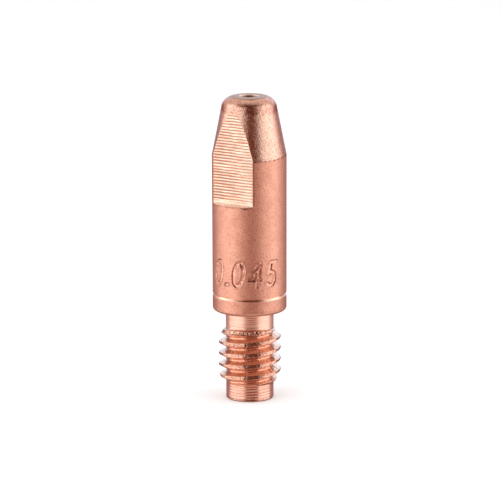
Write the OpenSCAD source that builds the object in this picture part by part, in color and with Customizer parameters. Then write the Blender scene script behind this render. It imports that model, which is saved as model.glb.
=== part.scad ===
// Contact tip for a welding torch, turned from one copper bar.
// The threaded end stands on z = 0 and the nose points up.

/* [Overall] */
// Length from the threaded end to the nose face
overall_length = 38.1; // [34:0.1:46]
// Diameter of the plain body
body_d = 9.2; // [8.6:0.1:10]

/* [Threaded end] */
// Diameter of the plain pilot below the thread
pilot_d = 5.95; // [5:0.05:6.4]
// Height of the pilot, where the thread core begins
pilot_height = 1.8; // [1.2:0.1:2.6]
// Edge round at the bottom of the pilot
pilot_round = 0.2; // [0.1:0.05:0.6]
// Diameter over the thread crests
thread_d = 7.8; // [7.2:0.05:8.4]
// Diameter at the thread roots
root_d = 5.9; // [5.6:0.05:6.6]
// Rise of the thread in one turn
thread_pitch = 1.411; // [1.3:0.001:1.6]
// Width of the flat on the thread crest
crest_width = 0.18; // [0.1:0.01:0.36]
// Height of the crest where the thread starts
thread_start = 1.9; // [1.6:0.1:2.4]
// Height where the thread has run out and the neck begins
thread_end = 9.2; // [7:0.1:9.6]
// Turns in which the thread grows to its full height
lead_turns = 1; // [0.5:0.1:1.5]
// Turns in which the thread runs out
runout_turns = 0.9; // [0.5:0.1:2]
// Direction of the thread start, in degrees from +X
start_angle = -40; // [-180:5:180]

/* [Neck and shoulder] */
// Diameter of the neck between the thread and the shoulder
neck_d = 6; // [5:0.05:6.4]
// Height of the shoulder face
shoulder_height = 11.25; // [10.4:0.05:12.4]
// Edge round of the shoulder
shoulder_round = 0.45; // [0.1:0.05:0.9]

/* [Groove] */
// Height of the middle of the ring groove
groove_height = 13.35; // [12.4:0.05:20]
// Width of the ring groove at the body surface
groove_width = 0.38; // [0.2:0.02:0.8]
// Depth of the ring groove
groove_depth = 0.17; // [0.08:0.01:0.4]

/* [Wrench flats] */
// Distance across the two flats
flat_width = 7; // [6:0.1:8.2]
// Length of the flats from the nose face down to their step
flat_length = 13; // [9:0.1:20]

/* [Nose] */
// Length of the taper from the nose face down to the body
nose_length = 7.2; // [5:0.1:8.8]
// Slope of the taper to the axis, in degrees
taper_angle = 11.4; // [4:0.1:14]
// Edge round of the nose
nose_round = 1.65; // [0.4:0.05:2]

/* [Wire bore] */
// Diameter of the wire bore
bore_d = 1.35; // [0.8:0.05:1.8]
// Mouth diameter of the countersink in the nose
nose_mouth_d = 2.4; // [1.9:0.05:2.8]
// Depth of the countersink in the nose
nose_mouth_depth = 0.6; // [0.2:0.05:1.2]
// Mouth diameter of the lead-in at the threaded end
lead_mouth_d = 3; // [1.9:0.05:4]
// Depth of the lead-in at the threaded end
lead_mouth_depth = 1.4; // [0.4:0.05:4]

/* [Hidden] */
$fn = 96;

body_r = body_d / 2;
pilot_r = pilot_d / 2;
root_r = root_d / 2;
neck_r = neck_d / 2;
bore_r = bore_d / 2;

// Heights where the flats end in a step and where the taper begins
flat_height = overall_length - flat_length;
taper_height = overall_length - nose_length;

// Radius of the taper carried up to the nose face, without its round
nose_corner_r = body_r - nose_length * tan(taper_angle);
// Length that the round takes off the nose face
nose_setback = nose_round * tan((90 - taper_angle) / 2);
// Centre of the nose round
nose_round_r = nose_corner_r - nose_setback;
nose_round_z = overall_length - nose_round;

// The thread ridge is sunk this far into its core
ridge_sink = 0.1;
// Slope of the thread flanks, in degrees from level
flank_angle = 30;
segment_angle = 10;
thread_turns = (thread_end - thread_start) / thread_pitch;
ridge_stations = ceil(thread_turns * 360 / segment_angle);
ridge_height = (thread_d - root_d) / 2 + ridge_sink;
// Least share of the ridge height, deep inside the core
ridge_seed = 0.08;
ridge_base_r = root_r - ridge_sink;
// Share of the pitch that half the base of the ridge may take, so that its turns stay apart
base_share = 0.496;
base_limit = thread_pitch * base_share;

// Allowance of the cutters beyond the surface that they cut
clear = 1;

color_copper = [0.85, 0.52, 0.40];

// Share of the full thread height at a number of turns from the start
function ridge_share(turn) =
    max(ridge_seed, min(1, turn / lead_turns, (thread_turns - turn) / runout_turns));

// Section of the thread ridge: two corners in the core and two at the crest
function ridge_section(turn) =
    let (
        share = ridge_share(turn),
        angle = start_angle + turn * 360,
        z = thread_start + turn * thread_pitch,
        crest_r = ridge_base_r + ridge_height * share,
        half_base = min(base_limit, crest_width / 2 + ridge_height * share * tan(flank_angle)),
        half_crest = crest_width / 2
    )
    [
        [ridge_base_r * cos(angle), ridge_base_r * sin(angle), z - half_base],
        [crest_r * cos(angle), crest_r * sin(angle), z - half_crest],
        [crest_r * cos(angle), crest_r * sin(angle), z + half_crest],
        [ridge_base_r * cos(angle), ridge_base_r * sin(angle), z + half_base]
    ];

// Turned form: one half section carried round the axis
module turned_body() {
    rotate_extrude() {
        polygon([
            [bore_r, lead_mouth_depth],
            [lead_mouth_d / 2, 0],
            [pilot_r - pilot_round, 0],
            [pilot_r, pilot_round],
            [pilot_r, pilot_height],
            [root_r, pilot_height],
            [root_r, thread_end],
            [neck_r, thread_end],
            [neck_r, shoulder_height],
            [body_r - shoulder_round, shoulder_height],
            [body_r, shoulder_height + shoulder_round],
            [body_r, groove_height - groove_width / 2],
            [body_r - groove_depth, groove_height],
            [body_r, groove_height + groove_width / 2],
            [body_r, taper_height],
            [nose_round_r + nose_round * cos(taper_angle), nose_round_z + nose_round * sin(taper_angle)],
            [nose_round_r, overall_length],
            [nose_mouth_d / 2, overall_length],
            [bore_r, overall_length - nose_mouth_depth]
        ]);
        translate([pilot_r - pilot_round, pilot_round]) circle(r = pilot_round);
        translate([body_r - shoulder_round, shoulder_height + shoulder_round]) circle(r = shoulder_round);
        translate([nose_round_r, nose_round_z]) outer_half(nose_round);
    }
}

// Half disc on the side away from the axis
module outer_half(r) {
    intersection() {
        circle(r = r);
        translate([0, -r]) square([r, 2 * r]);
    }
}

// Right-hand thread ridge that grows from the core and runs out into it
module thread_ridge() {
    sections = [for (i = [0 : ridge_stations]) ridge_section(thread_turns * i / ridge_stations)];
    points = [for (section = sections) for (p = section) p];
    corners = len(sections[0]);
    last = len(points) - corners;
    sides = [
        for (i = [0 : corners : last - 1]) for (k = [0 : corners - 1])
            let (
                a = i + k,
                b = i + (k + 1) % corners,
                c = a + corners,
                d = b + corners
            )
            each [[a, b, c], [b, d, c]]
    ];
    start_cap = [for (k = [corners - 1 : -1 : 0]) k];
    end_cap = [for (k = [0 : corners - 1]) last + k];
    polyhedron(points, concat(sides, [start_cap, end_cap]));
}

// The two flats for a wrench, cut from the step up through the taper
module flat_cuts() {
    for (side = [-1, 1])
        translate([
            -body_r - clear,
            side > 0 ? flat_width / 2 : -flat_width / 2 - body_r,
            flat_height
        ])
            cube([body_d + 2 * clear, body_r, overall_length - flat_height + clear]);
}

module contact_tip() {
    color(color_copper)
        union() {
            difference() {
                turned_body();
                flat_cuts();
            }
            thread_ridge();
        }
}

contact_tip();
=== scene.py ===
import math

import bpy
import numpy as np
from mathutils import Matrix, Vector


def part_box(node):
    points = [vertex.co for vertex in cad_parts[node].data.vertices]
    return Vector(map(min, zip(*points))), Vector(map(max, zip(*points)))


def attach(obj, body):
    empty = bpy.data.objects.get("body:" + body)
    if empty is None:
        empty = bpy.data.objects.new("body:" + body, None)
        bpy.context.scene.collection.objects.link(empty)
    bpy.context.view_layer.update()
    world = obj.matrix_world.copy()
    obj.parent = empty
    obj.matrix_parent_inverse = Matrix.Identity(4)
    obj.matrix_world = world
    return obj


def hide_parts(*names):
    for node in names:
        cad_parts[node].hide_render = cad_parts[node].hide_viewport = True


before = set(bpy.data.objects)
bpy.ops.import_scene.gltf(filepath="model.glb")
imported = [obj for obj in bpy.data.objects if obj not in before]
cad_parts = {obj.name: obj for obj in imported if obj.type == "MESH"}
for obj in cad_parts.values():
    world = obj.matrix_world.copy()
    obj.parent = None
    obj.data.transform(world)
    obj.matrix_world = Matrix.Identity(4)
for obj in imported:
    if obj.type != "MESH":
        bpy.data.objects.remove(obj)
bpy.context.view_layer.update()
low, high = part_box("contact_tip")
mm = 0.001
tipLength = (high.z - low.z) / mm
print("frame loaded")


# Camera, fitted to the outline in the photo. Angles are in degrees, lengths in millimetres.
cameraSpec = {
    "azimuth": 35.3,         # turned to the right of -Y, so one flat shows on the left
    "elevation": 12.0,
    "distance": 298.3,
    "aimHeight": 18.75,
    "lens": 173.4,
    "roll": -0.16,
    "shiftX": 0.001,
    "clipStart": 10.0,
}
facing = math.radians(cameraSpec["azimuth"] + 270)     # angle round the axis that looks at the camera


# Straight rows of the half section: the start plus a growing share of the way to the end, which is left out.
def lineRows(a, b, count):
    t = np.arange(count)[:, None] / count
    return np.array(a) + (np.array(b) - np.array(a)) * t


# Rows along an arc: centre plus radius times the cosine and sine of an angle in degrees, without the
# last point.
def arcRows(centre, radius, start, stop, count):
    angle = np.radians(start + (stop - start) * np.arange(count) / count)
    return np.array(centre) + radius * np.stack([np.cos(angle), np.sin(angle)], 1)


# Columns round the axis in radians: close together from one angle to another and wide apart elsewhere.
def columnAngles(start, stop, dense, wide):
    near = start + (stop - start) * np.arange(dense) / dense
    far = stop + (start + 360 - stop) * np.arange(wide) / wide
    return np.radians(np.concatenate([near, far]))


# Smooth noise on the unrolled wall: seeded values on a lattice that closes round the axis, joined by
# cosine steps.
def wallNoise(angle, z, around, cell, seed):
    tall = int(tipLength / cell) + 3
    lattice = np.random.default_rng(seed).uniform(-1, 1, (tall, around))
    u, v = angle / (2 * np.pi) * around, z / cell
    i, j = np.floor(v).astype(int), np.floor(u).astype(int)
    a = 0.5 - 0.5 * np.cos((v - i) * np.pi)
    b = 0.5 - 0.5 * np.cos((u - j) * np.pi)
    j0, j1 = j % around, (j + 1) % around
    below = lattice[i, j0] * (1 - b) + lattice[i, j1] * b
    above = lattice[i + 1, j0] * (1 - b) + lattice[i + 1, j1] * b
    return below * (1 - a) + above * a


# Smooth step from 0 at one value to 1 at another: three squares less two cubes of the share of the way.
def smoothStep(a, b, x):
    t = np.clip((x - a) / (b - a), 0, 1)
    return t * t * (3 - 2 * t)


# Full grids of radius, height and angle: every row of the stretches, repeated at every angle. Each stretch
# has a zone name.
def spread(stretches, angles):
    rows = np.concatenate([s[1] for s in stretches])
    zones = np.concatenate([np.full(len(s[1]), s[0]) for s in stretches])
    r = np.repeat(rows[:, :1], len(angles), 1)
    z = np.repeat(rows[:, 1:], len(angles), 1)
    angle = np.repeat(angles[None, :], len(rows), 0)
    return r, z, angle, zones


# Closed grid of quads: points at the radius times the cosine and sine of the angle, where the last row joins
# the first and the last column joins the first. Grime and painted shade are kept per point.
def gridMesh(name, r, z, angle, grimeAndShade):
    points = np.stack([r * np.cos(angle), r * np.sin(angle), z], -1)
    n, m = r.shape
    i, j = np.meshgrid(np.arange(n), np.arange(m), indexing="ij")
    up, right = (i + 1) % n, (j + 1) % m
    quads = np.stack([i * m + j, i * m + right, up * m + right, up * m + j], -1).reshape(-1, 4)
    mesh = bpy.data.meshes.new(name)
    mesh.vertices.add(n * m)
    mesh.vertices.foreach_set("co", (points.reshape(-1, 3) * mm).ravel())
    mesh.loops.add(quads.size)
    mesh.loops.foreach_set("vertex_index", quads.ravel().astype(np.int32))
    mesh.polygons.add(len(quads))
    mesh.polygons.foreach_set("loop_start", np.arange(0, quads.size, 4, dtype=np.int32))
    mesh.update(calc_edges=True)
    layer = mesh.attributes.new("grimeAndShade", "FLOAT", "POINT")
    layer.data.foreach_set("value", grimeAndShade.ravel().astype(np.float32))
    mesh.shade_smooth()
    return mesh


# Threaded stub: pilot, thread and neck. Lengths in millimetres, heights from the threaded end.
stub = {
    "boreR": 0.675,
    "leadR": 1.5,            # mouth of the lead-in at the threaded end
    "leadDepth": 1.4,
    "pilotR": 2.975,
    "pilotRound": 0.2,
    "pilotTop": 1.8,
    "feedPitch": 0.36,       # turning marks on the pilot
    "feedDepth": 0.03,
    "neckR": 3.0,
    "neckFrom": 9.75,
    "neckPitch": 0.26,       # turning marks on the neck
    "neckDepth": 0.024,
    "top": 11.3,             # a little inside the body
    "columns": (212, 400, 196, 70),
}
# Sixty degree thread on a blank that was turned off centre, so its crests are wide in front and sharp
# elsewhere.
thread = {
    "sharpR": 3.99,          # where the flanks would meet
    "rootR": 2.92,
    "pitch": 1.411,
    "flankAngle": 30.0,      # slope of the flanks from level, in degrees
    "crestZ": 1.9,           # height of a crest at the start angle
    "startAngle": -40.0,
    "wander": 0.02,          # waviness of the crest line
    "blankR": 3.88,
    "blankOffset": 0.27,     # shift of the blank away from the camera
    "blankLimit": 3.9,
    "crestTilt": 0.2,        # the crest leans in towards its upper edge
    "tiltFrom": 0.3,         # where it stands this far above the root
    "startZ": (2.08, 2.2, 3.3),          # above the pilot the blank widens at these heights
    "startR": (2.975, 3.24, 4.0),
    "endZ": (8.2, 8.35, 8.74, 8.82),     # and below the neck it narrows at these
    "endR": (3.92, 3.4, 3.27, 3.0),
    "endLift": 0.35,         # the thread ends this much higher in front
    "rootFoot": (2.2, 2.1),  # the root widens to the pilot below and to the neck above
    "rootHead": (8.6, 8.8),
    "plainFrom": 8.86,       # turned like the neck above this height
    "edge": 0.012,           # softness of crest and root edges
    "tear": 0.022,           # roughness of the crests
    "tearFoot": (2.2, 2.6),  # it sets in and ends at these heights
    "tearHead": (8.84, 8.74),
    "lastTear": 2.4,         # so much more of it on the last turn
    "lastTurn": (8.2, 8.6),
    "crestBlend": 0.03,      # width over which a flank turns into a crest
    "sharpWidth": 0.11,      # half width of the painted shade along a sharp crest
    "sharpSides": (0.6, 0.2),            # cosines of the angle from the camera where that painted shade sets in
}
# Grime and painted shade on the stub, from 0 for none to 1.
stubGrimeAndShade = {
    "crest": 0.55,           # flecks on the torn crests
    "lastCrest": 0.25,       # more of them on the last turn
    "lastTurn": (8.3, 8.6),
    "sharp": 0.9,            # painted shade on the sharp crests at the sides as seen from the camera
    "foot": 0.6,             # bottom of the pilot, fading out upwards
    "footFade": (0.4, 0.15),
    "rim": 0.52,             # rounded rim below it
    "neck": 0.5,             # painted shade in the corner under the shoulder
    "neckShadeFade": (11.12, 11.25),
}


# Thread radius: the sharp radius less the distance from the crest line over the tangent of the flank angle,
# not below the root and not above the blank, with soft edges; where the blank shows, it is torn. Also tells
# how much of a point is crest, how much painted shade lies on sharp crests at the sides as seen from the
# camera, and whether it is turned like the neck.
def threadRadius(angle, z):
    t = thread
    front = np.cos(angle - facing)
    helix = t["crestZ"] + (angle - math.radians(t["startAngle"])) / (2 * np.pi) * t["pitch"]
    helix += t["wander"] * wallNoise(angle, z, 110, 0.5, 11)
    rise = (z - helix + t["pitch"] / 2) % t["pitch"] - t["pitch"] / 2
    flank = t["sharpR"] - np.abs(rise) / math.tan(math.radians(t["flankAngle"]))
    blank = np.minimum(t["blankR"] - t["blankOffset"] * front, t["blankLimit"])
    starting = np.interp(z, t["startZ"], t["startR"])
    ended = z - t["endLift"] * smoothStep(0, 1, front)
    ending = np.interp(ended, t["endZ"], t["endR"])
    blank = np.minimum(blank, np.minimum(starting, ending))
    tear = 0.6 * wallNoise(angle, z, 280, 0.1, 12) + 0.4 * wallNoise(angle, z, 120, 0.25, 13)
    torn = smoothStep(*t["tearFoot"], z) * smoothStep(*t["tearHead"], ended)
    torn *= 1 + t["lastTear"] * smoothStep(*t["lastTurn"], z)
    blank += t["tear"] * torn * tear - t["crestTilt"] * rise * (blank > t["rootR"] + t["tiltFrom"])
    root = np.maximum(t["rootR"], stub["neckR"] * smoothStep(*t["rootHead"], ended))
    root = np.maximum(root, stub["pilotR"] * smoothStep(*t["rootFoot"], z))
    groove = t["edge"] * np.logaddexp(flank / t["edge"], root / t["edge"])
    solid = -t["edge"] * np.logaddexp(-groove / t["edge"], -blank / t["edge"])
    crest = smoothStep(-t["crestBlend"], t["crestBlend"], groove - blank)
    crest *= (ended < t["tearHead"][0]) * (z > t["tearFoot"][0])
    # Painted shade on sharp crests that stand at the sides as seen from the camera.
    sharp = np.exp(-(rise / t["sharpWidth"]) ** 2) * smoothStep(*t["sharpSides"], np.abs(front))
    return solid, crest, sharp, ended > t["plainFrom"]


# Stub surface: up from the lead-in over pilot, thread and neck, then back down the bore. The turning marks
# follow the sine of the height over their pitch.
def stubSurface():
    s, dirtAndShade = stub, stubGrimeAndShade
    rimR = s["pilotR"] - s["pilotRound"]
    stretches = [
        ("bore", lineRows((s["boreR"], s["leadDepth"]), (s["leadR"], 0), 5)),
        ("turned", lineRows((s["leadR"], 0), (rimR, 0), 6)),
        ("turned", arcRows((rimR, s["pilotRound"]), s["pilotRound"], -90, 0, 8)),
        ("pilot", lineRows((s["pilotR"], s["pilotRound"]), (s["pilotR"], s["pilotTop"]), 44)),
        ("thread", lineRows((s["pilotR"], s["pilotTop"]), (s["neckR"], s["neckFrom"]), 215)),
        ("neck", lineRows((s["neckR"], s["neckFrom"]), (s["neckR"], s["top"]), 36)),
        ("bore", lineRows((s["neckR"], s["top"]), (s["boreR"], s["top"]), 4)),
        ("bore", lineRows((s["boreR"], s["top"]), (s["boreR"], s["leadDepth"]), 8)),
    ]
    r, z, angle, zones = spread(stretches, columnAngles(*s["columns"]))
    grimeAndShade = np.zeros_like(r)
    plain = np.zeros(r.shape, bool)

    rows = zones == "thread"
    a, h = angle[rows], z[rows]
    r[rows], crest, sharp, plain[rows] = threadRadius(a, h)
    last = smoothStep(*dirtAndShade["lastTurn"], h)
    flecks = smoothStep(0.1, 0.6, wallNoise(a, h, 280, 0.09, 14))
    torn = (dirtAndShade["crest"] + dirtAndShade["lastCrest"] * last) * flecks * crest
    # Dirt flecks on the torn crests, and painted shade on the sharp crests at the sides.
    grimeAndShade[rows] = np.maximum(torn, dirtAndShade["sharp"] * sharp * (1 - 0.5 * last))

    rows = zones == "pilot"
    a, h = angle[rows], z[rows]
    wave = np.abs(np.sin(np.pi * (h / s["feedPitch"] - a / (2 * np.pi))))
    r[rows] -= s["feedDepth"] * (1 - wave)
    grimeAndShade[rows] = dirtAndShade["foot"] * smoothStep(*dirtAndShade["footFade"], h + 0.25 * wallNoise(a, h, 90, 0.3, 21))

    rows = (zones == "turned") & (z[:, 0] < s["pilotRound"])
    grimeAndShade[rows] = dirtAndShade["rim"] + 0.4 * wallNoise(angle[rows], z[rows], 120, 0.1, 22)

    plain[zones == "neck"] = True
    r[plain] -= s["neckDepth"] * np.abs(np.sin(np.pi * z[plain] / s["neckPitch"]))
    # Painted shade on the turned part, deepening up into the corner under the shoulder.
    grimeAndShade[plain] = dirtAndShade["neck"] * smoothStep(*dirtAndShade["neckShadeFade"], z[plain])
    return r, z, angle, zones, grimeAndShade, {"neck": plain}


# Body: shoulder, ring groove, stamped wall, wrench flats and tapered nose.
body = {
    "length": tipLength,
    "r": (high.x - low.x) / 2 / mm,
    "boreR": 0.675,
    "shoulderZ": 11.25,
    "shoulderRound": 0.45,
    "grooveZ": 13.35,
    "grooveWidth": 0.38,
    "grooveDepth": 0.17,
    "grooveFloor": 0.06,     # the deepest line lies this far above the middle
    "grooveEdge": 0.012,     # close rows that keep the groove's edges crisp
    "flatZ": 25.1,           # step where the flats end
    "ledgeDrop": 0.17,       # the step slopes down to the outside
    "flatHalf": 3.5,
    "taperZ": 30.9,
    "taperAngle": 11.4,
    "taperSink": 0.012,      # small step down from the body to the taper
    "noseRound": 1.65,
    "faceR": 2.35,           # the faced ring reaches a little way into the round
    "mouthR": 1.2,           # countersink in the nose
    "mouthDepth": 0.6,
    "faceDrop": 0.14,        # the faced end leans a little to the front
    "faceBlend": (1.2, 0.1),      # that sets in and is full this far below the end
    "noseOffset": -0.07,     # the taper was turned a little off the body's axis
    "noseOffsetAngle": 305.0,
    "nick": 0.08,            # ragged edge where the taper meets the body
    "wornZ": 36.1,           # the nose is worn above this ragged height
    "wornRagged": 0.35,
    "stepMargin": 0.05,      # the step's own finish ends this far inside the wall
    "burr": 0.04,            # ragged burr on the step's edge
    "burrBand": 0.32,        # strip below the edge that carries it
    "burrRise": (0.2, 0.04),      # it sets in and is full this far below the edge
    "burrSides": (0.765, 0.8),    # sines of the angle between which it sets in beside a flat
    "bigBurr": 0.14,         # one larger burr below the front flat
    "bigBurrAngle": 299.0,
    "bigBurrWidth": 0.28,
    "columns": (226, 358, 180, 70),
}
# Milling furrows of the flats, with lines of painted shade in their valleys.
furrow = {
    "pitch": 0.357,
    "depth": 0.055,
    "rows": 6,               # rows of the mesh in each furrow
    "wave": 0.05,            # waviness, as a share of the pitch
    "uneven": 0.25,          # variation of the depth, as a share of it
    "valleyShade": 0.95,
    "valleyShadeFrom": (0.66, 0.96),     # share of the depth where a line begins and where it is full
    "valleyShadeThin": (0.15, 0.03),     # added to those towards +X, where the lines are thinner
    "reach": 3.0,                 # half the width over which they thin out
    "clean": (0.2, 0.5),          # the lines set in this far above the step
}
# Plain wire size, rolled into the body as thin strokes with raised edges.
stamp = {
    "digits": "0.045",
    "places": (-4.35, -2.85, -1.4, 0.74, 2.92),     # along the wall from the direction of the camera
    "centreZ": 16.57,
    "height": 2.92,          # between the middles of the strokes
    "width": 1.2,
    "slant": 0.13,
    "stroke": 0.2,           # half the width of a stroke
    "wall": 0.07,            # half the width of its sloping sides
    "depth": 0.1,
    "rim": 0.03,
    "ragged": 0.03,
    "margin": 0.45,          # close rows reach this far past the digits
    "pressed": 0.1,          # share of the depth that takes the pressed finish
    # dirt and painted shade along the stroke walls, and its limit
    "dirtAndShade": 0.48,
    "dirtAndShadeLimit": 0.85,
    "smudge": 0.75,          # dirt round the four
    "smudgeShift": 0.1,
    "smudgeSize": (0.5, 0.75),
}
# Grime and painted shade on the body, from 0 for none to 1.
bodyGrimeAndShade = {
    "band": 0.06,            # below the ring groove, and as much again in smears
    "bandFade": (13.2, 13.0),
    "shoulder": 0.4,         # darker in patches down towards the shoulder's round
    "shoulderFade": (12.1, 11.7),
    "junction": 0.95,        # broken line where the taper meets the body
    "junctionWidth": 0.09,
    "nose": 0.3,             # specks near the nose face
    "noseFade": (35.4, 36.6),
    "brinkShade": 0.75,           # painted shade on the body along the flats' edges
    "brinkShadeWidth": 0.13,
    "rim": 0.7,              # painted shade on the flats along their edges
    "rimWidth": 0.08,
    "burr": (0.25, 0.45),    # painted shadow on the strip below the step's edge, darker where the burr stands high
    # painted shadow under the big burr
    "bigBurr": 0.9,
    "bigBurrShadeFade": (0.3, 0.2),    # it sets in and is full this far below the edge
    "mouth": 0.95,           # painted shade in the countersink
    "mouthShadeFade": (0.46, 0.28),    # it sets in and is full this far outside the bore
}
slope = math.radians(body["taperAngle"])
edgeZ = body["flatZ"] - body["ledgeDrop"]     # outer edge of the step
# Nose round: it touches the face and the taper, so its centre lies below the one and inside the other.
cornerR = body["r"] - (body["length"] - body["taperZ"]) * math.tan(slope)
roundR = cornerR - body["noseRound"] * math.tan((math.pi / 2 - slope) / 2)
roundZ = body["length"] - body["noseRound"]
tangentZ = roundZ + body["noseRound"] * math.sin(slope)


# Strokes of one character in millimetres about its middle; a round one follows an ellipse.
def strokes(character):
    w, h = stamp["width"] / 2, stamp["height"] / 2
    if character == "0":
        turn = np.linspace(0, 2 * np.pi, 29)
        path = [np.stack([w * np.cos(turn), h * np.sin(turn)], 1)]
    elif character == "4":
        path = [
            np.array([(0.75 * w, h), (-1.3 * w, -0.42 * h), (1.1 * w, -0.42 * h)]),
            np.array([(0.75 * w, h), (0.7 * w, -h)]),
        ]
    elif character == "5":
        bowl = np.radians(np.linspace(125, -140, 17))
        path = [
            np.array([(0.95 * w, h), (-0.5 * w, 0.97 * h), (-0.75 * w, 0.12 * h)]),
            np.stack([-0.05 * w + 0.95 * w * np.cos(bowl), -0.42 * h + 0.58 * h * np.sin(bowl)], 1),
        ]
    else:
        path = [np.array([(-0.1, -h + 0.1), (0.1, -h + 0.1)])]
    return [np.stack([p[:, 0] + stamp["slant"] * p[:, 1], p[:, 1]], 1) for p in path]


# Stamped relief: by distance from the middle line of a stroke, a flat floor, sloping sides and a raised
# ragged lip. The sides carry dirt and painted shade, and round the four the dirt is smudged.
def stampRelief(angle, z):
    along = ((angle - facing + np.pi) % (2 * np.pi) - np.pi) * body["r"]
    up = z - stamp["centreZ"]
    nearest = np.full(z.shape, np.inf)
    for character, place in zip(stamp["digits"], stamp["places"]):
        for path in strokes(character):
            for a, b in zip(path[:-1], path[1:]):
                d = b - a
                px, pz = along - place - a[0], up - a[1]
                t = np.clip((px * d[0] + pz * d[1]) / (d @ d), 0, 1)
                nearest = np.minimum(nearest, np.hypot(px - t * d[0], pz - t * d[1]))
    s, w = stamp["stroke"], stamp["wall"]
    ragged = nearest + stamp["ragged"] * wallNoise(angle, z, 190, 0.15, 31)
    groove = smoothStep(s + w, s - w, ragged) * (0.85 + 0.3 * wallNoise(angle, z, 170, 0.2, 34))
    lip = np.exp(-((ragged - s - 1.9 * w) / w) ** 2) * (0.7 + 0.6 * wallNoise(angle, z, 120, 0.2, 32))
    four = stamp["places"][stamp["digits"].index("4")]
    wide, tall = stamp["smudgeSize"]
    smudge = np.exp(-((along - four + stamp["smudgeShift"]) / wide) ** 2 - (up / tall) ** 2)
    spots = wallNoise(angle, z, 150, 0.18, 33)
    # Dirt and painted shade along the stroke walls, with dirt smudged round the four.
    dirtAndShade = np.exp(-((ragged - s) / w) ** 2) * (stamp["dirtAndShade"] + 0.3 * wallNoise(angle, z, 60, 0.5, 35))
    dirtAndShade *= np.maximum(1 + smudge * (0.2 + 2.4 * spots), 0)
    dirtAndShade += stamp["smudge"] * smudge * smoothStep(-0.1, 0.4, spots)
    return stamp["rim"] * lip - stamp["depth"] * groove, groove, np.minimum(dirtAndShade, stamp["dirtAndShadeLimit"])


# Radius at which a plane beside the axis is met: its distance over the sine of the angle.
def planeRadius(distance, angle):
    return distance / np.maximum(np.abs(np.sin(angle)), 0.001)


# Body section: out along the shoulder, up the wall, over the nose and down the bore.
def bodyRows():
    b = body
    wall, bore, foot, top = b["r"], b["boreR"], b["shoulderZ"], b["length"]
    footR, footTop = wall - b["shoulderRound"], foot + b["shoulderRound"]
    grooveLow, grooveHigh = b["grooveZ"] - b["grooveWidth"] / 2, b["grooveZ"] + b["grooveWidth"] / 2
    grooveR, grooveMid = wall - b["grooveDepth"], b["grooveZ"] + b["grooveFloor"]
    belowGroove, aboveGroove = grooveLow - b["grooveEdge"], grooveHigh + b["grooveEdge"]
    stampLow = stamp["centreZ"] - stamp["height"] / 2 - stamp["margin"]
    stampHigh = stamp["centreZ"] + stamp["height"] / 2 + stamp["margin"]
    burrLow = edgeZ - b["burrBand"]
    furrowRows = int(round((tangentZ - b["flatZ"]) / furrow["pitch"] * furrow["rows"]))
    faceTilt = math.degrees(math.acos((b["faceR"] - roundR) / b["noseRound"]))
    mouthLow = top - b["mouthDepth"]
    return [
        ("turned", lineRows((bore, foot), (footR, foot), 6)),
        ("satin", arcRows((footR, footTop), b["shoulderRound"], -90, 0, 10)),
        ("satin", lineRows((wall, footTop), (wall, belowGroove), 8)),
        ("satin", lineRows((wall, belowGroove), (wall, grooveLow), 1)),
        ("groove", lineRows((wall, grooveLow), (grooveR, grooveMid), 7)),
        ("groove", lineRows((grooveR, grooveMid), (wall, grooveHigh), 5)),
        ("satin", lineRows((wall, grooveHigh), (wall, aboveGroove), 1)),
        ("satin", lineRows((wall, aboveGroove), (wall, stampLow), 5)),
        ("satin", lineRows((wall, stampLow), (wall, stampHigh), 76)),
        ("satin", lineRows((wall, stampHigh), (wall, burrLow), 13)),
        ("edge", lineRows((wall, burrLow), (wall, edgeZ), 6)),
        ("ledge", lineRows((wall, edgeZ), (wall, b["flatZ"]), 8)),
        ("head", lineRows((wall, b["flatZ"]), (wall, tangentZ), furrowRows)),
        ("head", arcRows((roundR, roundZ), b["noseRound"], b["taperAngle"], faceTilt, 28)),
        ("face", arcRows((roundR, roundZ), b["noseRound"], faceTilt, 90, 5)),
        ("face", lineRows((roundR, top), (b["mouthR"], top), 4)),
        ("mouth", lineRows((b["mouthR"], top), (bore, mouthLow), 6)),
        ("bore", lineRows((bore, mouthLow), (bore, foot), 8)),
    ]


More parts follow.
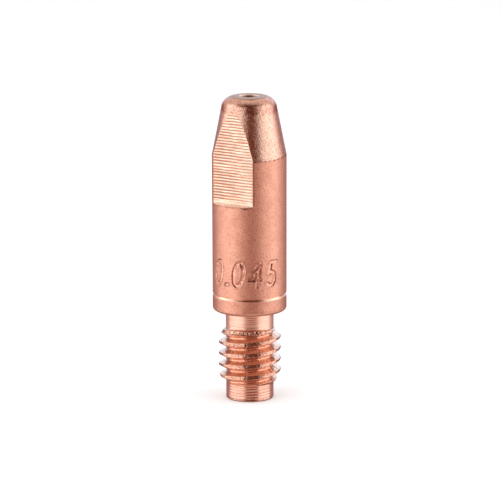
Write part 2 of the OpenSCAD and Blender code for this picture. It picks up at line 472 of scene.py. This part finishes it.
# Body surface: the section, changed zone by zone as the notes inside say, with the areas of other finishes.
def bodySurface():
    b, dirtAndShade, wall = body, bodyGrimeAndShade, body["r"]
    r, z, angle, zones = spread(bodyRows(), columnAngles(*b["columns"]))
    grimeAndShade = np.zeros_like(r)
    areas = {name: np.zeros(r.shape, bool) for name in ("pressed", "nose", "worn", "step", "milled")}

    # Wall: the stamped relief with the dirt and painted shade of its strokes, and smears below the groove.
    rows = np.nonzero((zones == "satin") & (r[:, 0] == wall))[0]
    a, h = angle[rows], z[rows]
    # The stain of the strokes is their dirt and painted shade.
    relief, cut, stain = stampRelief(a, h)
    r[rows] += relief
    areas["pressed"][rows] = cut > stamp["pressed"]
    smear = smoothStep(0.1, 0.9, wallNoise(a, h, 130, 0.2, 46))
    grimeAndShade[rows] = stain + smoothStep(*dirtAndShade["bandFade"], h) * (dirtAndShade["band"] + dirtAndShade["band"] * smear)
    grimeAndShade[rows] += dirtAndShade["shoulder"] * smear * smoothStep(*dirtAndShade["shoulderFade"], h)

    # Taper: the body radius less the rise above the junction times the slope, off centre and ragged at the
    # junction.
    rows = np.nonzero(zones == "head")[0]
    a, h = angle[rows], z[rows]
    offset = b["noseOffset"] * np.cos(a - math.radians(b["noseOffsetAngle"]))
    rag = wallNoise(a, h, 150, 0.6, 41) * 0.6 + wallNoise(a, h, 330, 0.4, 42) * 0.4
    above = h - b["taperZ"] - offset / math.tan(slope) + b["nick"] * rag
    tapered = above > 0
    taper = wall - (h - b["taperZ"]) * math.tan(slope) + offset
    straight = h < tangentZ
    cone = np.where(tapered, np.minimum(taper, wall) - b["taperSink"], wall)
    turned = np.where(straight, cone, r[rows] + offset)
    line = np.exp(-((above + 0.02) / dirtAndShade["junctionWidth"]) ** 2) * straight
    line = dirtAndShade["junction"] * line * smoothStep(-0.4, 0.4, wallNoise(a, h, 110, 0.4, 43))
    areas["nose"][rows] = tapered

    # Flats: the radius is limited by the plane, which is cut into shallow furrows.
    phase = (h - b["flatZ"]) / furrow["pitch"] + furrow["wave"] * wallNoise(a, h, 16, 1.4, 51)
    deep = furrow["depth"] * (1 + furrow["uneven"] * wallNoise(a, h, 30, 0.7, 52))
    valley = np.abs(np.sin(np.pi * phase))
    limit = planeRadius(b["flatHalf"] - deep * valley, a)
    milled = limit < turned
    specks = smoothStep(0.2, 0.9, wallNoise(a, h, 220, 0.14, 44)) * smoothStep(*dirtAndShade["noseFade"], h)
    # Painted shade in the furrow valleys, thinner towards +X and left out just above the step.
    across = smoothStep(-furrow["reach"], furrow["reach"], limit * np.cos(a))
    begin, full = [share + thin * across for share, thin in zip(furrow["valleyShadeFrom"], furrow["valleyShadeThin"])]
    valleyShade = furrow["valleyShade"] * smoothStep(begin, full, valley)
    valleyShade *= smoothStep(b["flatZ"] + furrow["clean"][0], b["flatZ"] + furrow["clean"][1], h)
    # Painted shade along both sides of each flat's edge, on the straight part of the body.
    brinkShade = dirtAndShade["brinkShade"] * np.exp(-((limit - turned) / dirtAndShade["brinkShadeWidth"]) ** 2) * ~tapered
    rim = dirtAndShade["rim"] * np.exp(-((turned - limit) / dirtAndShade["rimWidth"]) ** 2) * ~tapered
    beside = np.maximum(line + dirtAndShade["nose"] * specks, brinkShade)
    grimeAndShade[rows] = np.where(milled, np.maximum(valleyShade, rim), beside)
    r[rows] = np.minimum(turned, limit)
    areas["milled"][rows] = milled
    areas["milled"] &= np.roll(areas["milled"], -1, 1)

    # Step below each flat: it falls in a straight line from the flat to the wall.
    rows = np.nonzero(zones == "ledge")[0]
    inner = planeRadius(b["flatHalf"], angle[rows])
    fall = (b["flatZ"] - z[rows]) / b["ledgeDrop"]
    r[rows] = np.where(inner < wall, inner + (wall - inner) * fall, wall)
    areas["step"][rows] = inner < wall - b["stepMargin"]

    # Burrs: raised towards the edge of that step, ragged along it, with one bell-shaped larger one.
    rows = zones == "edge"
    a, h = angle[rows], z[rows]
    over = smoothStep(*b["burrSides"], np.abs(np.sin(a)))
    start, full = [edgeZ - drop for drop in b["burrRise"]]
    rise = smoothStep(start, full, h)
    burr = 0.5 + 0.5 * wallNoise(a, h, 70, 3, 61)
    big = np.exp(-((a - math.radians(b["bigBurrAngle"])) * wall / b["bigBurrWidth"]) ** 2)
    r[rows] += b["burr"] * over * rise * burr
    r[rows] += b["bigBurr"] * big * rise
    # Painted shadow on the strip below the step's edge, ragged with the burr, and deeper under the big burr.
    ragged = over * rise * (dirtAndShade["burr"][0] + dirtAndShade["burr"][1] * smoothStep(0.35, 0.7, burr))
    start, full = [edgeZ - drop for drop in dirtAndShade["bigBurrShadeFade"]]
    grimeAndShade[rows] = np.maximum(ragged, dirtAndShade["bigBurr"] * big * smoothStep(start, full, h))

    # Painted shade in the countersink, darkest next to the bore.
    rows = zones == "mouth"
    outer, inner = dirtAndShade["mouthShadeFade"]
    grimeAndShade[rows] = dirtAndShade["mouth"] * smoothStep(b["boreR"] + outer, b["boreR"] + inner, r[rows])

    # Faced end: lowered in front in proportion to the distance from the back edge.
    lean = b["faceDrop"] * (0.5 + 0.5 * r / b["faceR"] * np.cos(angle - facing))
    start, full = [b["length"] - drop for drop in b["faceBlend"]]
    z -= lean * smoothStep(start, full, z) * (r > b["boreR"] + 0.01)
    wornFrom = b["wornZ"] + b["wornRagged"] * wallNoise(angle, z, 60, 0.5, 45)
    areas["worn"] = areas["nose"] & (z > wornFrom)
    return r, z, angle, zones, grimeAndShade, areas


# Adds a node and sets its inputs by name. A mix node mixes colours.
def addNode(nodes, kind, values={}):
    node = nodes.new(kind)
    if kind == "ShaderNodeMix":
        node.data_type = "RGBA"
    for socket, value in values.items():
        node.inputs[socket].default_value = value
    return node


# Noise that all the copper finishes share.
patina = {
    "fineDetail": 3.0,
    "coarseScale": 700,      # broad stains
    "coarseDetail": 2.0,
    "stain": 0.3,
    "stainFrom": (0.25, 0.7),
    "gloss": (1.25, 0.8),    # the roughness varies between these shares
    "bumpHeight": 0.03,      # millimetres, for a bump of 1
}


# Copper: colour varies with coarse and fine noise on Object coordinates, fine grains tilt the surface,
# and the mesh's grime and painted shade darken it. Edge tints what is seen at a slant.
def copper(name, colour, dark, roughness, grain, speck, bump, stretch=(1, 1, 1), edge=1.0,
           grimeAndShadeColour=(0.16, 0.05, 0.03)):
    p = patina
    material = bpy.data.materials.new(name)
    material.use_nodes = True
    nodes, links = material.node_tree.nodes, material.node_tree.links
    shader = nodes["Principled BSDF"]
    shader.inputs["Metallic"].default_value = 1.0
    shader.inputs["Specular Tint"].default_value = (edge, edge ** 2, edge ** 2, 1)
    place = addNode(nodes, "ShaderNodeTexCoord")
    scale = addNode(nodes, "ShaderNodeMapping", {"Scale": stretch})
    fine = addNode(nodes, "ShaderNodeTexNoise", {"Scale": grain, "Detail": p["fineDetail"]})
    coarse = addNode(nodes, "ShaderNodeTexNoise", {"Scale": p["coarseScale"], "Detail": p["coarseDetail"]})
    fleck = addNode(nodes, "ShaderNodeMapRange", {"From Min": 0.5 - speck, "From Max": 0.5})
    tone = addNode(nodes, "ShaderNodeMix", {"A": (*dark, 1), "B": (*colour, 1)})
    stain = addNode(nodes, "ShaderNodeMapRange", {
        "From Min": p["stainFrom"][0],
        "From Max": p["stainFrom"][1],
        "To Min": p["stain"],
        "To Max": 0.0,
    })
    stained = addNode(nodes, "ShaderNodeMix", {"B": (*dark, 1)})
    dirtAndShade = addNode(nodes, "ShaderNodeAttribute")
    dirtAndShade.attribute_name = "grimeAndShade"
    dirtyAndShaded = addNode(nodes, "ShaderNodeMix", {"B": (*grimeAndShadeColour, 1)})
    gloss = addNode(nodes, "ShaderNodeMapRange", {
        "To Min": roughness * p["gloss"][0],
        "To Max": roughness * p["gloss"][1],
    })
    relief = addNode(nodes, "ShaderNodeBump", {"Strength": 1.0, "Distance": bump * p["bumpHeight"] * mm})
    links.new(place.outputs["Object"], scale.inputs["Vector"])
    links.new(scale.outputs["Vector"], fine.inputs["Vector"])
    links.new(place.outputs["Object"], coarse.inputs["Vector"])
    links.new(fine.outputs["Fac"], fleck.inputs["Value"])
    links.new(fleck.outputs["Result"], tone.inputs["Factor"])
    links.new(coarse.outputs["Fac"], stain.inputs["Value"])
    links.new(stain.outputs["Result"], stained.inputs["Factor"])
    links.new(tone.outputs["Result"], stained.inputs["A"])
    links.new(dirtAndShade.outputs["Fac"], dirtyAndShaded.inputs["Factor"])
    links.new(stained.outputs["Result"], dirtyAndShaded.inputs["A"])
    links.new(dirtyAndShaded.outputs["Result"], shader.inputs["Base Color"])
    links.new(coarse.outputs["Fac"], gloss.inputs["Value"])
    links.new(gloss.outputs["Result"], shader.inputs["Roughness"])
    links.new(fine.outputs["Fac"], relief.inputs["Height"])
    links.new(relief.outputs["Normal"], shader.inputs["Normal"])
    return material


finishes = {
    "satin": copper("satinCopper", (0.815, 0.473, 0.353), (0.54, 0.23, 0.15), roughness=0.38, grain=9000,
                    speck=0.15, bump=1.4, edge=0.92),
    "nose": copper("noseCopper", (0.955, 0.69, 0.55), (0.64, 0.34, 0.23), roughness=0.12, grain=8000,
                   speck=0.11, bump=1.4),
    "worn": copper("wornCopper", (0.9, 0.57, 0.44), (0.38, 0.15, 0.1), roughness=0.17, grain=7500,
                   speck=0.2, bump=1.1, edge=0.7),
    "milled": copper("milledCopper", (0.96, 0.83, 0.68), (0.87, 0.55, 0.4), roughness=0.2, grain=3000,
                     speck=0.1, bump=0.1, stretch=(0.3, 1, 3), grimeAndShadeColour=(0.33, 0.09, 0.04)),
    "step": copper("stepCopper", (0.97, 0.84, 0.75), (0.7, 0.42, 0.32), roughness=0.4, grain=5000,
                   speck=0.15, bump=0.4),
    "turned": copper("turnedCopper", (0.845, 0.54, 0.42), (0.77, 0.43, 0.32), roughness=0.26, grain=3000,
                     speck=0.1, bump=0.5, stretch=(0.1, 0.1, 3)),
    "groove": copper("grooveCopper", (0.95, 0.66, 0.52), (0.85, 0.46, 0.33), roughness=0.22, grain=3000,
                     speck=0.1, bump=0.1, stretch=(0.3, 0.3, 4)),
    "neck": copper("neckCopper", (0.95, 0.67, 0.53), (0.87, 0.52, 0.39), roughness=0.33, grain=3000,
                   speck=0.1, bump=0.7, stretch=(0.1, 0.1, 3)),
    "thread": copper("threadCopper", (0.83, 0.52, 0.39), (0.64, 0.31, 0.21), roughness=0.2, grain=7000,
                     speck=0.15, bump=0.3),
    "pressed": copper("pressedCopper", (0.87, 0.51, 0.385), (0.56, 0.25, 0.17), roughness=0.28, grain=7000,
                      speck=0.15, bump=0.5),
    "face": copper("facedCopper", (0.5, 0.27, 0.17), (0.3, 0.15, 0.1), roughness=0.42, grain=9000,
                   speck=0.2, bump=0.5),
    "bore": copper("boreCopper", (0.6, 0.3, 0.21), (0.5, 0.22, 0.15), roughness=0.35, grain=3000,
                   speck=0.1, bump=0.1),
}
order = list(finishes)
# Zones whose finish has another name.
zoneFinish = {"pilot": "turned", "edge": "satin", "ledge": "satin", "head": "satin", "mouth": "step"}


# Puts a surface in the scene as a piece of the tip. A quad takes the finish of the area in which it starts,
# or else that of its row's zone.
def addPiece(name, r, z, angle, zones, grimeAndShade, areas):
    mesh = gridMesh(name, r, z, angle, grimeAndShade)
    zoneSlots = [order.index(zoneFinish.get(str(zone), str(zone))) for zone in zones]
    slots = np.repeat(np.array(zoneSlots, np.int32)[:, None], r.shape[1], 1)
    for finish, area in areas.items():
        slots[area] = order.index(finish)
    for finish in order:
        mesh.materials.append(finishes[finish])
    mesh.polygons.foreach_set("material_index", slots.ravel())
    piece = bpy.data.objects.new(name, mesh)
    bpy.context.scene.collection.objects.link(piece)
    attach(piece, "root")
    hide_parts("contact_tip")
    print(name, "has", len(mesh.polygons) * 2, "triangles")


addPiece("tipStub", *stubSurface())
addPiece("tipBody", *bodySurface())


# Direction from the tip to an azimuth from the camera and an elevation, in degrees: sine and cosine of the
# azimuth times the cosine of the elevation, and the sine of the elevation.
def fromCamera(azimuth, elevation):
    a, e = math.radians(cameraSpec["azimuth"] + azimuth), math.radians(elevation)
    return np.array([math.sin(a) * math.cos(e), -math.cos(a) * math.cos(e), math.sin(e)])


aim = np.array([0, 0, cameraSpec["aimHeight"]]) * mm


# Turns an object at a place so that its -Z looks at the aim point, then rolls it: the cross products of the
# view line with the vertical give its sides.
def lookAtTip(thing, place, roll=0.0):
    back = (place - aim) / np.linalg.norm(place - aim)
    side = np.cross([0, 0, 1], back)
    side /= np.linalg.norm(side)
    up = np.cross(back, side)
    c, s = math.cos(math.radians(roll)), math.sin(math.radians(roll))
    turn = np.eye(4)
    turn[:3, :3] = np.stack([c * side + s * up, c * up - s * side, back], 1)
    turn[:3, 3] = place
    thing.matrix_world = Matrix(turn.tolist())


camera = bpy.data.objects.new("camera", bpy.data.cameras.new("camera"))
bpy.context.scene.collection.objects.link(camera)
camera.data.lens = cameraSpec["lens"]
camera.data.shift_x = cameraSpec["shiftX"]
camera.data.clip_start = cameraSpec["clipStart"] * mm
cameraPlace = aim + fromCamera(0, cameraSpec["elevation"]) * cameraSpec["distance"] * mm
lookAtTip(camera, cameraPlace, cameraSpec["roll"])
bpy.context.scene.camera = camera

# Two broad soft boxes, left and right of the camera, from below the floor line to high above. Sizes and
# distances are in metres.
lights = {
    "softLeft": {"azimuth": -68, "elevation": 8, "distance": 0.3, "size": (0.58, 0.5), "radiance": 1.15},
    "softRight": {"azimuth": 76, "elevation": 8, "distance": 0.3, "size": (0.42, 0.5), "radiance": 1.15},
}
for name, spec in lights.items():
    lamp = bpy.data.lights.new(name, "AREA")
    lamp.shape = "RECTANGLE"
    lamp.size, lamp.size_y = spec["size"]
    lamp.energy = spec["radiance"] * math.pi * lamp.size * lamp.size_y
    box = bpy.data.objects.new(name, lamp)
    bpy.context.scene.collection.objects.link(box)
    lookAtTip(box, aim + fromCamera(spec["azimuth"], spec["elevation"]) * spec["distance"])

# Pale floor that shows to the camera and takes the shadow, and is left out of the tip's reflections.
floorMesh = bpy.data.meshes.new("floor")
reach = 1.2
corners = [(-reach, -reach, 0), (reach, -reach, 0), (reach, reach, 0), (-reach, reach, 0)]
floorMesh.from_pydata(corners, [], [(0, 1, 2, 3)])
floorPaint = bpy.data.materials.new("floorPaint")
floorPaint.use_nodes = True
floorShader = floorPaint.node_tree.nodes["Principled BSDF"]
floorShader.inputs["Base Color"].default_value = (0.97, 0.97, 0.97, 1)
floorShader.inputs["Roughness"].default_value = 0.9
floorMesh.materials.append(floorPaint)
floor = bpy.data.objects.new("floor", floorMesh)
bpy.context.scene.collection.objects.link(floor)
floor.visible_glossy = False
floor.visible_shadow = False

# World: white to the camera and on the floor. In reflections it is a dim warm room, dark in front above the
# floor line and lighter below it, grey behind the tip, with a white backdrop straight behind and a brighter
# patch of it to the right. A fade is a range of the cosine between the view direction and its axis.
room = {
    "frontHigh": (0.12, 0.03, 0.016),
    "frontLow": (0.48, 0.16, 0.11),
    "frontFade": (-0.27, 0.12),
    "floor": (0.68, 0.5, 0.44),
    "floorFade": (-0.55, -0.25),
    "behindLow": (0.41, 0.24, 0.25),
    "behindHigh": (0.95, 0.84, 0.8),
    "behindFade": (0.0, 0.5),
    "sideFade": (-0.15, 0.3),          # from behind to in front
    "backdrop": (1.0, 1.3, 1.6),
    "backdropAt": (180, 16),           # azimuth from the camera and elevation, in degrees
    "backdropFade": (0.87, 0.94),
    "backdropRight": (1.2, 1.55, 1.9),
    "backdropRightAt": (161, 19),
    "backdropRightFade": (0.94, 0.97),
}
world = bpy.data.worlds.new("studio")
bpy.context.scene.world = world
world.use_nodes = True
nodes, links = world.node_tree.nodes, world.node_tree.links
direction = addNode(nodes, "ShaderNodeTexCoord")
rays = addNode(nodes, "ShaderNodeLightPath")


# Adds a colour mix to the world: from the first to the second, by a factor.
def worldMix(factor, a, b):
    mix = addNode(nodes, "ShaderNodeMix")
    links.new(factor, mix.inputs["Factor"])
    for socket, value in (("A", a), ("B", b)):
        if isinstance(value, tuple):
            mix.inputs[socket].default_value = (*value, 1)
        else:
            links.new(value, mix.inputs[socket])
    return mix.outputs["Result"]


# Adds a smooth ramp from 0 to 1 to the world: the dot product of the view direction and an axis, over a
# fade.
def worldRamp(axis, fade):
    along = addNode(nodes, "ShaderNodeVectorMath")
    along.operation = "DOT_PRODUCT"
    along.inputs[1].default_value = tuple(axis)
    links.new(direction.outputs["Generated"], along.inputs[0])
    ramp = addNode(nodes, "ShaderNodeMapRange", {"From Min": fade[0], "From Max": fade[1]})
    ramp.interpolation_type = "SMOOTHSTEP"
    links.new(along.outputs["Value"], ramp.inputs["Value"])
    return ramp.outputs["Result"]


upward = (0, 0, 1)
below = worldMix(worldRamp(upward, room["floorFade"]), room["floor"], room["frontLow"])
front = worldMix(worldRamp(upward, room["frontFade"]), below, room["frontHigh"])
behind = worldMix(worldRamp(upward, room["behindFade"]), room["behindLow"], room["behindHigh"])
backed = worldMix(worldRamp(fromCamera(0, 0), room["sideFade"]), behind, front)
for patch in ("backdrop", "backdropRight"):
    ramp = worldRamp(fromCamera(*room[patch + "At"]), room[patch + "Fade"])
    backed = worldMix(ramp, backed, room[patch])
shade = worldMix(rays.outputs["Is Glossy Ray"], (1, 1, 1), backed)
links.new(shade, nodes["Background"].inputs["Color"])
bpy.context.scene.view_settings.view_transform = "Standard"
print("studio set")

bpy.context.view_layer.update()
